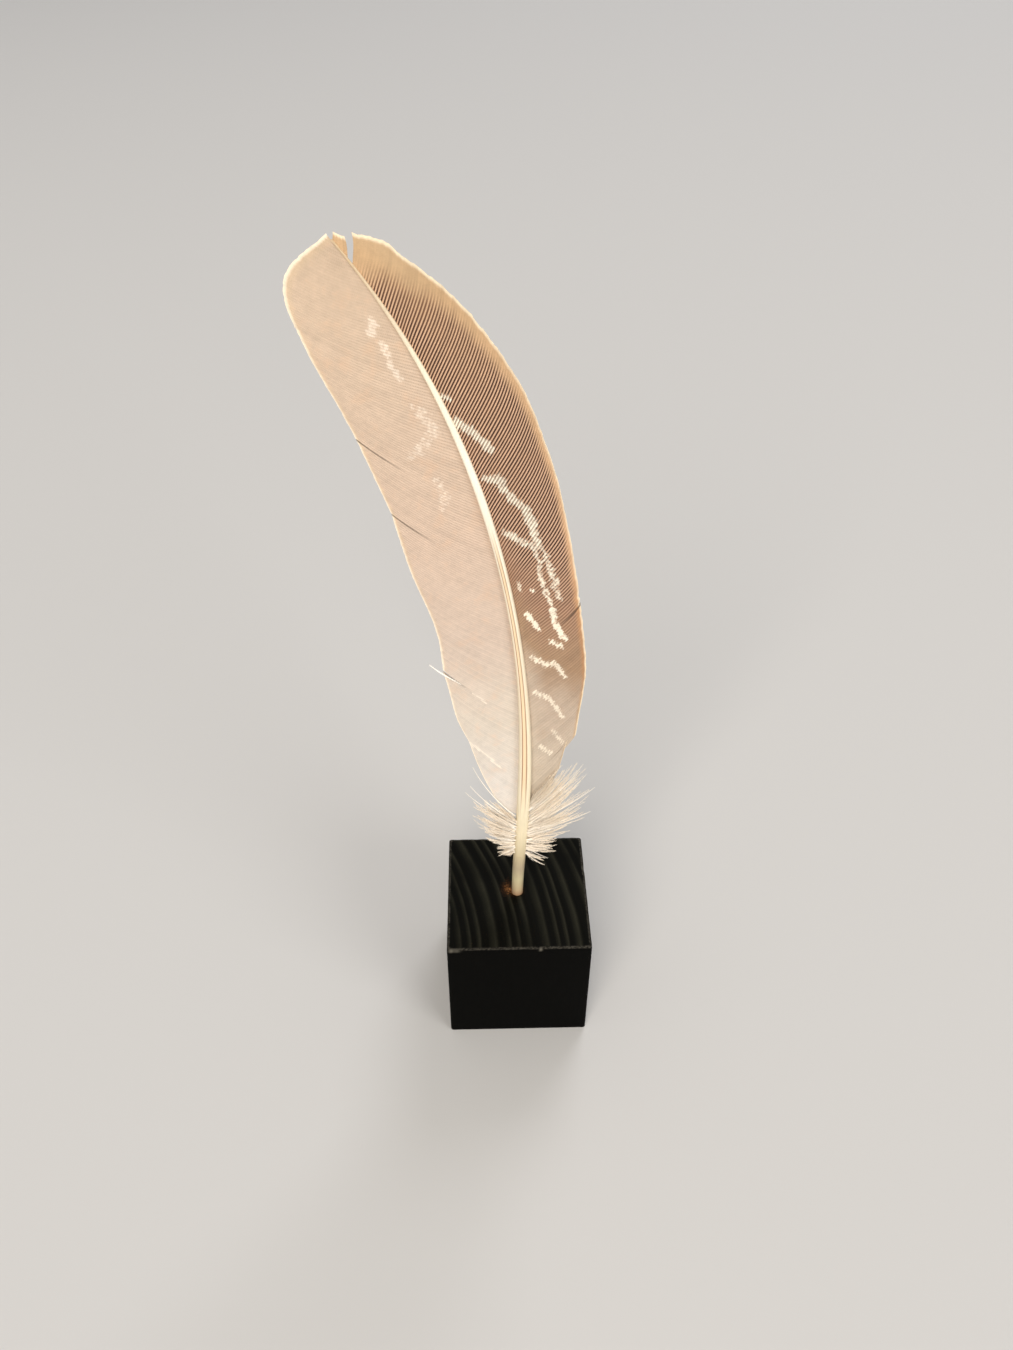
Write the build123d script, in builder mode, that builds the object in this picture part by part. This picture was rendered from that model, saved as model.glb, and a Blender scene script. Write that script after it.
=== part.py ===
from build123d import *
import os

os.makedirs("parts", exist_ok=True)

# A feather standing upright in a small wooden cube. Millimetres, +Z up,
# origin at the centre of the cube's underside, and the feather's grooved inner face towards -Y.

# the cube and the hole drilled down into its end grain
block_side = 30.0
block_edge_round = 0.35
hole_radius = 1.25
hole_depth = 14.0
hole_rim_chamfer = 0.15

# the shaft's centre line above the cube: control points of one Bezier curve, starting straight up
centre_points = [
    (0, 0, 30),
    (0, 0, 54),
    (6, 5.5, 83.5),
    (-3.5, 6.5, 109),
    (-4.5, -4.5, 141),
    (-25.5, -5, 168),
]

# outer radius of the quill and of the shaft at each height
quill_foot_gap = 0.08
quill_foot_profile = [(0.5, 0.0), (0.95, 1.2), (1.15, 4.0), (1.2, 8.0)]
quill_radii = [(30, 1.2), (36, 1.25), (42, 1.3)]
shaft_radii = [
    (42, 1.3),
    (64, 1.37),
    (85, 1.0),
    (108, 0.76),
    (127, 0.68),
    (144, 0.48),
    (158, 0.28),
    (167.6, 0.13),
]
quill_wall = 0.26
quill_lumen_start = 2.0
pith_share = 0.7
pith_top = 150.0

# membranes across the hollow quill
cap_heights = [21, 25.5, 30.5, 34, 37.2, 40]
cap_thickness = 0.12

# the vane: a thin sheet that leans towards the viewer at its margins
vane_thickness = 0.35
vane_camber = 0.010
vane_reach = 24.0
barb_sag = {"left": 0.11, "right": 0.04}    # as a share of the barb's length
split_gap = 0.16
sheet_step = 8.0       # between the sheet's rows, and between the points of a web's inner edge
cutting_depth = 20.0   # each way from the XZ plane, past every part of the sheet

# each web runs between two splits. A row is the height where a barb leaves the shaft,
# then the x and z of that barb's tip on the vane's margin
left_webs = {
    "left_web_1": [(52, -4.2, 56.6), (56, -7.0, 63.6), (61, -9.7, 73.3)],
    "left_web_2": [(61, -9.7, 73.3), (66, -11.6, 78.6), (72, -12.8, 85.0), (77.2, -14.3, 90.3)],
    "left_web_3": [
        (79.2, -13.6, 91.7),
        (85, -14.3, 97.0),
        (91, -15.4, 103.0),
        (99, -18.0, 112.0),
        (106, -19.6, 119.6),
        (111.5, -20.7, 125.6),
    ],
    "left_web_4": [(111.5, -20.7, 125.6), (118, -22.6, 132.0), (125.5, -24.8, 139.4)],
    "left_web_5": [(125.5, -24.8, 139.4), (133, -27.2, 146.0), (140, -29.2, 151.0), (147, -31.0, 156.5)],
    "left_web_6": [
        (147, -31.0, 156.5),
        (153, -32.0, 160.5),
        (158, -31.3, 163.8),
        (162, -29.3, 165.8),
        (165.3, -27.0, 167.4),
        (167.4, -25.8, 168.4),
    ],
}
right_webs = {
    "right_web_1": [(52.5, 9.2, 66.0), (57, 9.7, 69.6), (61, 10.4, 73.0)],
    "right_web_2": [
        (61, 10.8, 74.3),
        (66, 11.2, 79.0),
        (73, 11.8, 86.5),
        (82, 11.6, 94.5),
        (92.5, 10.0, 105.8),
    ],
    "right_web_3": [
        (92.5, 10.0, 105.8),
        (101, 8.4, 115.5),
        (110, 5.5, 129.3),
        (120, 2.6, 139.0),
        (130, -0.8, 147.8),
        (138, -4.4, 153.6),
        (145, -7.9, 158.3),
        (152, -12.2, 162.7),
        (158, -16.6, 166.0),
        (162.5, -20.2, 168.0),
        (164.3, -22.5, 168.4),
    ],
    "right_tip_web": [(165.1, -23.5, 167.9), (167.4, -24.9, 168.7)],
}

# the one barb that has come unhooked from its neighbours: root height, tip x, tip z
stray_barb_row = (78.3, -16.4, 93.5)
stray_barb_width = 0.4

# the downy tufts: plain fans through the tips of their strands, as x and z
down_thickness = 3.0
down_roots = {
    "left_base_tuft": (42.6, 45.2),
    "left_down": (45.4, 51.6),
    "right_base_tuft": (42.6, 46.8),
    "right_down": (47.0, 52.1),
}
down_tips = {
    "left_base_tuft": [(-2.9, 41.6), (-4.6, 43.2), (-3.9, 44.9)],
    "left_down": [(-6.4, 46.4), (-7.0, 50.5), (-8.6, 54.0), (-10.4, 59.7), (-9.4, 62.3), (-6.3, 57.6)],
    "right_base_tuft": [(5.3, 40.7), (7.8, 43.9), (9.4, 46.0)],
    "right_down": [
        (10.6, 50.4),
        (14.1, 53.6),
        (14.6, 58.0),
        (15.0, 62.8),
        (12.6, 66.0),
        (11.0, 66.4),
        (8.6, 62.6),
    ],
}


with BuildLine() as centre_line:
    Bezier(*centre_points)
centre = centre_line.edge()


def at_height(z):
    """The centre line's parameter where it passes height z, found by halving."""
    low, high = 0.0, 1.0
    while high - low > 1e-7:
        middle = (low + high) / 2
        if (centre @ middle).Z < z:
            low = middle
        else:
            high = middle
    return low


def centre_at(z):
    return centre @ at_height(z)


def section(z, radius):
    """A round section square to the centre line."""
    t = at_height(z)
    plane = Plane(origin=centre @ t, x_dir=(0, -1, 0), z_dir=centre % t)
    with BuildSketch(plane) as round_section:
        Circle(radius)
    return round_section.sketch


def round_loft(stations):
    """A tapering round bar along the centre line, through (height, radius) stations."""
    return loft([section(z, radius).face() for z, radius in stations], mode=Mode.PRIVATE)


def radius_at(stations, z):
    """The radius at height z, on straight lines between the stations."""
    for (z0, r0), (z1, r1) in zip(stations, stations[1:]):
        if z <= z1:
            return r0 + (r1 - r0) * (z - z0) / (z1 - z0)
    return stations[-1][1]


# block: a cube with softened edges and one hole down its end grain
with BuildPart() as wood_block:
    Box(block_side, block_side, block_side, align=(Align.CENTER, Align.CENTER, Align.MIN))
    fillet(wood_block.edges(), block_edge_round)
    with Locations((0, 0, block_side)):
        Hole(hole_radius, depth=hole_depth)
    rim = wood_block.edges().filter_by(GeomType.CIRCLE).filter_by_position(Axis.Z, block_side, block_side)
    chamfer(rim, hole_rim_chamfer)
wood_block.part.label = "wood_block"
export_step(wood_block.part, "parts/wood_block.step")


# quill: the hollow, unfeathered foot of the shaft. Its lower end is straight and sits in the hole
foot_z = block_side - hole_depth + quill_foot_gap
lumen_z = foot_z + quill_lumen_start
with BuildPart() as quill:
    with BuildSketch(Plane.XZ):
        with BuildLine():
            foot = Spline(*[(r, foot_z + z) for r, z in quill_foot_profile], tangents=((0.5, 1), (0, 1)))
            Polyline(foot @ 1, (quill_radii[0][1], block_side), (0, block_side), (0, foot_z), foot @ 0)
        make_face()
    revolve(axis=Axis.Z)
    add(round_loft(quill_radii))
    lumen_radii = [(z, r - quill_wall) for z, r in quill_radii]
    with BuildSketch(Plane.XY.offset(lumen_z)):
        Circle(lumen_radii[0][1] - quill_wall)
    with BuildSketch(Plane.XY.offset(lumen_z + quill_lumen_start)):
        Circle(lumen_radii[0][1])
    loft(mode=Mode.SUBTRACT)
    with BuildSketch(Plane.XY.offset(lumen_z + quill_lumen_start)):
        Circle(lumen_radii[0][1])
    extrude(amount=block_side - lumen_z - quill_lumen_start, mode=Mode.SUBTRACT)
    add(round_loft(lumen_radii), mode=Mode.SUBTRACT)
quill.part.label = "quill"
export_step(quill.part, "parts/quill.step")


# pulp caps: thin membranes across the hollow
with BuildPart() as pulp_caps:
    for z in cap_heights:
        cap_radius = radius_at(lumen_radii, z)
        if z < block_side:
            cap_plane = Plane.XY.offset(z)
        else:
            t = at_height(z)
            cap_plane = Plane(origin=centre @ t, x_dir=(0, -1, 0), z_dir=centre % t)
        with BuildSketch(cap_plane):
            Circle(cap_radius)
        extrude(amount=cap_thickness)
pulp_caps.part.label = "pulp_caps"
export_step(pulp_caps.part, "parts/pulp_caps.step")


# shaft: a horny rind, filled with light pith up to near its tip
pith_stations = [(z, r * pith_share) for z, r in shaft_radii if z < pith_top]
pith_stations.append((pith_top, radius_at(shaft_radii, pith_top) * pith_share))
with BuildPart() as shaft_pith:
    add(round_loft(pith_stations))
shaft_pith.part.label = "shaft_pith"
export_step(shaft_pith.part, "parts/shaft_pith.step")

shaft_blank = round_loft(shaft_radii)
with BuildPart() as shaft:
    add(shaft_blank)
    add(shaft_pith.part, mode=Mode.SUBTRACT)
shaft.part.label = "shaft"
export_step(shaft.part, "parts/shaft.step")


def vane_point(z, across):
    """A point of the vane's sheet: level with the shaft at height z, and the margins curve to -Y."""
    top = centre_points[-1][2]
    middle = centre_at(min(z, top))
    if z > top:
        slope = centre % 1
        middle = middle + slope * ((z - top) / slope.Z)
    return (middle.X + across, middle.Y - vane_camber * across**2, middle.Z)


# the whole vane as one thin cambered slab, from which each web is cut
sheet_heights = [40 + sheet_step * i for i in range(17)]
sheet_steps = [vane_reach * i / 4 for i in range(-4, 5)]
vane_sheet = Face.make_surface_from_array_of_points(
    [[Vector(*vane_point(z, across)) for across in sheet_steps] for z in sheet_heights]
)
vane_slab = thicken(vane_sheet, amount=vane_thickness / 2, both=True, mode=Mode.PRIVATE)


def barb(side, row, lift=0.0):
    """Root, bend point and tip of one barb, seen square to XZ. It sags towards the quill."""
    root_z, tip_x, tip_z = row
    root = centre_at(root_z)
    start = Vector(root.X, root.Z + lift)
    tip = Vector(tip_x, tip_z + lift)
    along = tip - start
    turn = 90 if side == "left" else -90
    bend = start + along / 2 + along.rotate(Axis.Z, turn) * barb_sag[side]
    return start, bend, tip


def web(name, side, rows):
    """The stretch of vane between two splits: two barbs, the margin, and the shaft's centre line."""
    with BuildPart() as piece:
        with BuildSketch(Plane.XZ):
            with BuildLine():
                low = Bezier(*barb(side, rows[0], split_gap / 2))
                high = Bezier(*barb(side, rows[-1], -split_gap / 2))
                margin = [low @ 1] + [(x, z) for _, x, z in rows[1:-1]] + [high @ 1]
                if len(margin) > 2:
                    Spline(*margin)
                else:
                    Line(*margin)
                steps = max(2, round((rows[-1][0] - rows[0][0]) / sheet_step))
                heights = [rows[0][0] + (rows[-1][0] - rows[0][0]) * i / steps for i in range(1, steps)]
                inner = [centre_at(z) for z in heights]
                Spline(low @ 0, *[(p.X, p.Z) for p in inner], high @ 0)
            make_face()
        extrude(amount=cutting_depth, both=True)
        add(vane_slab, mode=Mode.INTERSECT)
        add(shaft_blank, mode=Mode.SUBTRACT)
    piece.part.label = name
    export_step(piece.part, f"parts/{name}.step")


for name, rows in left_webs.items():
    web(name, "left", rows)
for name, rows in right_webs.items():
    web(name, "right", rows)


# stray barb: one strand lying in the split, its tip standing clear of the margin
with BuildPart() as stray_barb:
    with BuildSketch(Plane.XZ):
        with BuildLine() as strand:
            Bezier(*barb("left", stray_barb_row))
        trace(strand.line, line_width=stray_barb_width)
    extrude(amount=cutting_depth, both=True)
    add(vane_slab, mode=Mode.INTERSECT)
    add(shaft_blank, mode=Mode.SUBTRACT)
stray_barb.part.label = "stray_barb"
export_step(stray_barb.part, "parts/stray_barb.step")


def down(name):
    """A fan of down as one plain solid, from its length of shaft out through its tips."""
    low, high = [centre_at(z) for z in down_roots[name]]
    with BuildPart() as fan:
        with BuildSketch(Plane.XZ.offset(-low.Y)):
            with BuildLine():
                Polyline((low.X, low.Z), *down_tips[name], (high.X, high.Z), close=True)
            make_face()
        extrude(amount=down_thickness / 2, both=True)
        add(shaft_blank, mode=Mode.SUBTRACT)
    fan.part.label = name
    export_step(fan.part, f"parts/{name}.step")


for name in down_tips:
    down(name)
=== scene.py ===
import functools
import math
import bpy
import numpy as np
from mathutils import Matrix, Vector


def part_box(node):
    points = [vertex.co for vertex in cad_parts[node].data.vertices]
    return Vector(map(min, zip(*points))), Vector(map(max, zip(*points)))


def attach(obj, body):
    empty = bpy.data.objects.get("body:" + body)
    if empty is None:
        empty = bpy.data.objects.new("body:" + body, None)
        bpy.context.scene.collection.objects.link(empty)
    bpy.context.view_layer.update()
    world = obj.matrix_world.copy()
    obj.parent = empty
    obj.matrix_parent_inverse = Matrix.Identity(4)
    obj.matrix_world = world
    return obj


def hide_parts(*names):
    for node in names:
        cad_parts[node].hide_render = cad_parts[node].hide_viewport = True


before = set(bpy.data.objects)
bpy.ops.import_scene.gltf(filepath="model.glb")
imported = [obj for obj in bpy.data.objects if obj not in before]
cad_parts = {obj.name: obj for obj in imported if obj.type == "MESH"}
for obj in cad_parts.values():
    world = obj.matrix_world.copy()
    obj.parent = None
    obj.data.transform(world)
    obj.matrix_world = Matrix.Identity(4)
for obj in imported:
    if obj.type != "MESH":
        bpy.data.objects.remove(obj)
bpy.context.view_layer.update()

mm = 0.001

# camera, floor and lights

shot = {
    "place": (-6.5, -141.6, 209.4),   # mm
    "turnDeg": 1.6,                   # towards +X
    "downDeg": 39.9,
    "rollDeg": 0.25,
    "lens": 27.55,
    "sensor": 36.0,
}

floorLook = {"size": 30.0, "color": "#D2CFCA"}

lights = {
    # name: place in metres, aimed at, size in metres, watts, colour
    "keyPanel": ((-0.9, -3.1, 2.3), (0, 0, 0.09), 2.6, 122.0, "#FFF9F2"),
    "backPanel": ((1.3, 2.9, 3.0), (0, 0, 0.08), 2.1, 54.0, "#F6F8FF"),
    "frontFill": ((2.5, -2.5, 1.5), (0, 0, 0.09), 2.4, 62.0, "#FFFFFF"),
}
worldLook = {"color": "#ECEDEF", "strength": 0.38}


def linearColor(code):
    # sRGB hex to linear: the usual two-part curve, channel by channel; a plain number is a linear grey
    if not isinstance(code, str):
        return (code, code, code, 1.0)
    channels = [int(code[i:i + 2], 16) / 255 for i in (1, 3, 5)]
    return tuple(c / 12.92 if c <= 0.04045 else ((c + 0.055) / 1.055) ** 2.4 for c in channels) + (1.0,)


def makeCamera(shot):
    turn, down, roll = (math.radians(shot[k]) for k in ("turnDeg", "downDeg", "rollDeg"))
    forward = np.array([math.sin(turn) * math.cos(down), math.cos(turn) * math.cos(down), -math.sin(down)])
    right = np.array([math.cos(turn), -math.sin(turn), 0.0])
    up = np.cross(right, forward)
    sideways = math.cos(roll) * right + math.sin(roll) * up
    upright = -math.sin(roll) * right + math.cos(roll) * up
    data = bpy.data.cameras.new("camera")
    data.lens = shot["lens"]
    data.sensor_width = shot["sensor"]
    data.clip_start = 0.01
    camera = bpy.data.objects.new("camera", data)
    columns = np.column_stack([sideways, upright, -forward])
    place = Matrix(columns.tolist()).to_4x4()
    place.translation = [c * mm for c in shot["place"]]
    camera.matrix_world = place
    bpy.context.scene.collection.objects.link(camera)
    bpy.context.scene.camera = camera


def makeLights(lights, worldLook):
    for name, (place, target, size, watts, color) in lights.items():
        data = bpy.data.lights.new(name, "AREA")
        data.shape = "DISK"
        data.size = size
        data.energy = watts
        data.color = linearColor(color)[:3]
        lamp = bpy.data.objects.new(name, data)
        lamp.location = place
        direction = Vector(target) - Vector(place)
        lamp.rotation_euler = direction.to_track_quat("-Z", "Y").to_euler()
        bpy.context.scene.collection.objects.link(lamp)
    world = bpy.data.worlds.new("studio")
    world.use_nodes = True
    back = world.node_tree.nodes["Background"]
    back.inputs["Color"].default_value = linearColor(worldLook["color"])
    back.inputs["Strength"].default_value = worldLook["strength"]
    bpy.context.scene.world = world
    bpy.context.scene.view_settings.view_transform = "Standard"


# small helpers for meshes and materials

def newPiece(name, points, faces, material, body, creaseDeg=180):
    # points in millimetres; faces as lists of point numbers; edges sharper than creaseDeg don't shade round
    mesh = bpy.data.meshes.new(name)
    mesh.from_pydata(np.asarray(points, float).reshape(-1, 3) * mm, [], faces)
    mesh.polygons.foreach_set("use_smooth", np.ones(len(mesh.polygons), bool))
    mesh.set_sharp_from_angle(angle=math.radians(creaseDeg))
    mesh.materials.append(material)
    mesh.update()
    piece = bpy.data.objects.new(name, mesh)
    bpy.context.scene.collection.objects.link(piece)
    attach(piece, body)
    return piece


def storeVectors(piece, name, values):
    # one vector for each vertex, read by a material
    attribute = piece.data.attributes.new(name, "FLOAT_VECTOR", "POINT")
    attribute.data.foreach_set("vector", np.ascontiguousarray(values, np.float32).ravel())


def tubeFaces(count, stations, around, start=0):
    # count closed tubes, each with stations rings of around points: four-sided walls and a cap at each end
    tube = np.arange(count)[:, None, None] * stations * around
    ring = np.arange(stations - 1)[None, :, None] * around
    here = np.arange(around)[None, None, :]
    there = (here + 1) % around
    walls = np.stack([tube + ring + here, tube + ring + there,
                      tube + ring + around + there, tube + ring + around + here], axis=-1).reshape(-1, 4)
    firstRing = (tube[:, 0] + np.arange(around)[::-1]).reshape(-1, around)
    lastRing = (tube[:, 0] + (stations - 1) * around + np.arange(around)).reshape(-1, around)
    return (walls + start).tolist() + (firstRing + start).tolist() + (lastRing + start).tolist()


def ringsAround(path, first, second, radius, around):
    # around points round each point of a path, across two directions; radius is a row for each point
    angle = np.linspace(0, 2 * np.pi, around, endpoint=False)[:, None]
    ring = first[..., None, :] * np.cos(angle) + second[..., None, :] * np.sin(angle)
    return path[..., None, :] + ring * radius[..., None]


def unit(vectors):
    return vectors / np.maximum(np.linalg.norm(vectors, axis=-1, keepdims=True), 1e-9)


def smoothStep(values, low, high):
    # 0 below low, 1 above high, and an S-curve between
    t = np.clip((values - low) / (high - low), 0, 1)
    return t * t * (3 - 2 * t)


def bell(values, middle, width):
    # 1 at the middle, falling to 0 on both sides
    return np.exp(-((values - middle) / width) ** 2)


def slowNoise(count, spacing, generator):
    # random heights every few steps, joined by cosines
    knots = generator.uniform(-1, 1, int(count / spacing) + 3)
    place = np.arange(count) / spacing
    whole = place.astype(int)
    share = (1 - np.cos((place - whole) * np.pi)) / 2
    return knots[whole] * (1 - share) + knots[whole + 1] * share


def throughPoints(known, values, wanted):
    # natural cubic spline: the second slopes at the known places solve one linear system
    known, values, wanted = (np.asarray(a, float) for a in (known, values, wanted))
    n = len(known)
    if n < 3:
        return np.interp(wanted, known, values)
    step = np.diff(known)
    system = np.eye(n)
    inner = np.arange(1, n - 1)
    system[inner, inner - 1] = step[:-1]
    system[inner, inner] = 2 * (step[:-1] + step[1:])
    system[inner, inner + 1] = step[1:]
    sums = np.zeros(n)
    slopes = np.diff(values) / step
    sums[1:-1] = 6 * np.diff(slopes)
    second = np.linalg.solve(system, sums)
    i = np.clip(np.searchsorted(known, wanted) - 1, 0, n - 2)
    h = step[i]
    a = (known[i + 1] - wanted) / h
    b = (wanted - known[i]) / h
    curve = (a**3 - a) * second[i] + (b**3 - b) * second[i + 1]
    return a * values[i] + b * values[i + 1] + curve * h**2 / 6


def addNode(tree, kind, inputs=None):
    # inputs by name or number: numbers, #colours, or nodes and outputs to link. Stops are a colour ramp's,
    # and what the node has no input for is one of its properties
    node = tree.nodes.new("ShaderNode" + kind)
    for key, value in (inputs or {}).items():
        if isinstance(value, bpy.types.Node):
            value = next(output for output in value.outputs if output.enabled)
        if isinstance(value, str) and value.startswith("#"):
            value = linearColor(value)
        fits = [s for number, s in enumerate(node.inputs) if key in (number, s.name) and s.enabled]
        if key == "stops":
            elements = node.color_ramp.elements
            for number, (position, color) in enumerate(value):
                element = elements[number] if number < 2 else elements.new(position)
                element.position, element.color = position, linearColor(color)
        elif not fits:
            setattr(node, key, value)
        elif isinstance(value, bpy.types.NodeSocket):
            tree.links.new(value, fits[0])
        else:
            fits[0].default_value = value
    return node


# what a Mix node needs to mix colours, and to multiply them
mixed = {"data_type": "RGBA"}
multiplied = {"data_type": "RGBA", "blend_type": "MULTIPLY", "Factor": 1.0}


def newMaterial(name):
    # an empty material, addNode for its tree, and the place on the piece, in metres
    material = bpy.data.materials.new(name)
    material.use_nodes = True
    material.node_tree.nodes.clear()
    add = functools.partial(addNode, material.node_tree)
    return material, add, add("TexCoord").outputs["Object"]


def surfaced(material, shader):
    # the material with its surface shader's settings and links
    surface = addNode(material.node_tree, "BsdfPrincipled", shader)
    addNode(material.node_tree, "OutputMaterial", {"Surface": surface})
    return material


def storedParts(add, name):
    # the three numbers of a vector that storeVectors left on the piece
    stored = add("Attribute", {"attribute_name": name})
    return add("SeparateXYZ", {0: stored.outputs["Vector"]}).outputs


def perMetre(size):
    # a texture's scale for features of this many mm
    return 1 / (size * mm)


def colorsByHeight(add, height, colors, scale=mm):
    # colors are pairs of height in mm and colour, with smooth steps between; scale is a mm in height's units
    lowest, highest = colors[0][0], colors[-1][0]
    upward = add("MapRange", {"Value": height, "From Min": lowest * scale, "From Max": highest * scale})
    stops = [((z - lowest) / (highest - lowest), color) for z, color in colors]
    return add("ValToRGB", {"stops": stops, "Fac": upward})


# the feather's lines, shared by every piece of it

shaftLine = {
    # control points of one Bezier curve, from the block's top to the tip, mm
    "controls": [(0, 0, 30), (0, 0, 54), (6, 5.5, 83.5), (-3.5, 6.5, 109), (-4.5, -4.5, 141),
                 (-25.5, -5, 168)],
    "heights": (42, 64, 85, 108, 127, 144, 158, 167.6),
    "radii": (1.3, 1.37, 1.0, 0.76, 0.68, 0.48, 0.28, 0.13),
}

vane = {
    "camber": 0.010,   # the margins lean to -Y by this share of the square of the distance
    "back": 0.25,      # the vane leaves the shaft behind its middle, as a share of its radius
    # degrees: a barb leaves the shaft wider than its chord, and ends nearer to the shaft's own direction
    "rootTurn": {"left": 12, "right": 2}, "tipTurn": {"left": 12, "right": 15},
    "spacing": {"left": ((50, 170), (0.38, 0.38)), "right": ((110, 160), (0.50, 0.42))},   # mm, by height
    "stations": 48,
}


def shaftPoint(t):
    # Bernstein sum of the control points, and its slope
    controls = np.array(shaftLine["controls"], float)
    n = len(controls) - 1
    t = np.asarray(t, float)[..., None]
    point = sum(math.comb(n, k) * t**k * (1 - t) ** (n - k) * controls[k] for k in range(n + 1))
    steps = np.diff(controls, axis=0)
    slope = sum(n * math.comb(n - 1, k) * t**k * (1 - t) ** (n - 1 - k) * steps[k] for k in range(n))
    return point, slope


denseT = np.linspace(0, 1, 2001)
denseLine = shaftPoint(denseT)[0]


def shaftAt(height):
    # the centre line where it passes a height; past the tip it runs on straight
    height = np.asarray(height, float)
    top = denseLine[-1, 2]
    point, slope = shaftPoint(np.interp(height, denseLine[:, 2], denseT))
    beyond = np.maximum(height - top, 0)[..., None]
    return point + slope / slope[..., 2:] * beyond


def shaftRadius(height):
    return np.interp(height, shaftLine["heights"], shaftLine["radii"])


def vaneDepth(x, z):
    # y of the vane's sheet: the shaft's, a little behind its middle, less the camber times distance squared
    middle = shaftAt(z)
    across = x - middle[..., 0]
    return middle[..., 1] + vane["back"] * shaftRadius(z) - vane["camber"] * across**2


def onVane(x, z):
    return np.stack([x, vaneDepth(x, z), z], axis=-1)


def vaneNormal(x, z):
    # the sheet's normal on its -Y side, from its two slopes
    small = 0.05
    slopeX = (vaneDepth(x + small, z) - vaneDepth(x - small, z)) / (2 * small)
    slopeZ = (vaneDepth(x, z + small) - vaneDepth(x, z - small)) / (2 * small)
    return unit(np.stack([slopeX, -np.ones_like(x), slopeZ], axis=-1))


# webs: each barb is one closed strip, a raised ramus between two thin skirts of barbules

# a row is the height where a barb leaves the shaft, then the x and z of its tip on the margin.
# open: how far the margin's ends part at the web's lower and upper split; lift: how far they curl to -Y;
# shade: how dark the painted shadow on its last barb is, where it tucks behind the web above
leftWebs = {
    "left_web_1": {"open": (0, 0.05), "lift": (0.3, 0.1), "rows": [
        (52, -4.2, 56.6), (56, -7.0, 63.6), (61, -9.7, 73.3)]},
    "left_web_2": {"open": (0.05, 0.25), "lift": (0.1, -0.2), "shade": 0.7, "rows": [
        (61, -9.7, 73.3), (66, -11.6, 78.6), (72, -12.8, 85.0), (78.3, -13.9, 91.0)]},
    "left_web_3": {"open": (0.35, 0.0), "lift": (0.2, -0.15), "shade": 1.0, "rows": [
        (78.3, -13.9, 91.0), (85, -14.3, 97.0), (91, -15.4, 103.0), (99, -18.0, 112.0),
        (106, -19.6, 119.6), (111.5, -20.7, 125.6)]},
    "left_web_4": {"open": (0.04, 0.0), "lift": (0.2, -0.1), "shade": 1.0, "rows": [
        (111.5, -20.7, 125.6), (118, -22.6, 132.0), (125.5, -24.8, 139.4)]},
    "left_web_5": {"open": (0.04, 0.0), "lift": (0.15, 0.0), "rows": [
        (125.5, -24.8, 139.4), (133, -27.2, 146.0), (140, -29.2, 151.0), (147, -31.0, 156.5)]},
    "left_web_6": {"open": (0, 0), "lift": (0, 0), "rows": [
        (147, -31.0, 156.5), (153, -32.0, 160.5), (158, -31.3, 163.8), (162, -29.3, 165.8),
        (165.3, -27.0, 167.4), (167.4, -25.8, 168.4)]},
}
rightWebs = {
    "right_web_1": {"open": (0, 0), "lift": (0.2, 0.1), "rows": [
        (52.5, 7.9, 65.4), (57, 8.6, 69.0), (61, 9.3, 72.7)]},
    "right_web_2": {"open": (0.05, 0.0), "lift": (-0.1, -0.15), "shade": 0.8, "rows": [
        (61, 10.75, 74.0), (66, 11.2, 79.0), (73, 11.8, 86.5), (82, 11.6, 94.5), (92.5, 10.0, 105.8)]},
    "right_web_3": {"open": (0.04, 0.0), "lift": (0.2, 0.0), "rows": [
        (92.5, 10.0, 105.8), (101, 8.4, 115.5), (110, 5.5, 129.3), (120, 2.6, 139.0),
        (130, -0.8, 147.8), (138, -4.4, 153.6), (145, -7.9, 158.3), (152, -12.2, 162.7),
        (158, -16.6, 166.0), (162.5, -20.2, 168.0), (164.3, -22.5, 168.4)]},
    "right_tip_web": {"open": (0, 0), "lift": (0, 0), "rows": [(165.1, -23.5, 167.9), (167.4, -24.9, 168.7)]},
}

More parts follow.
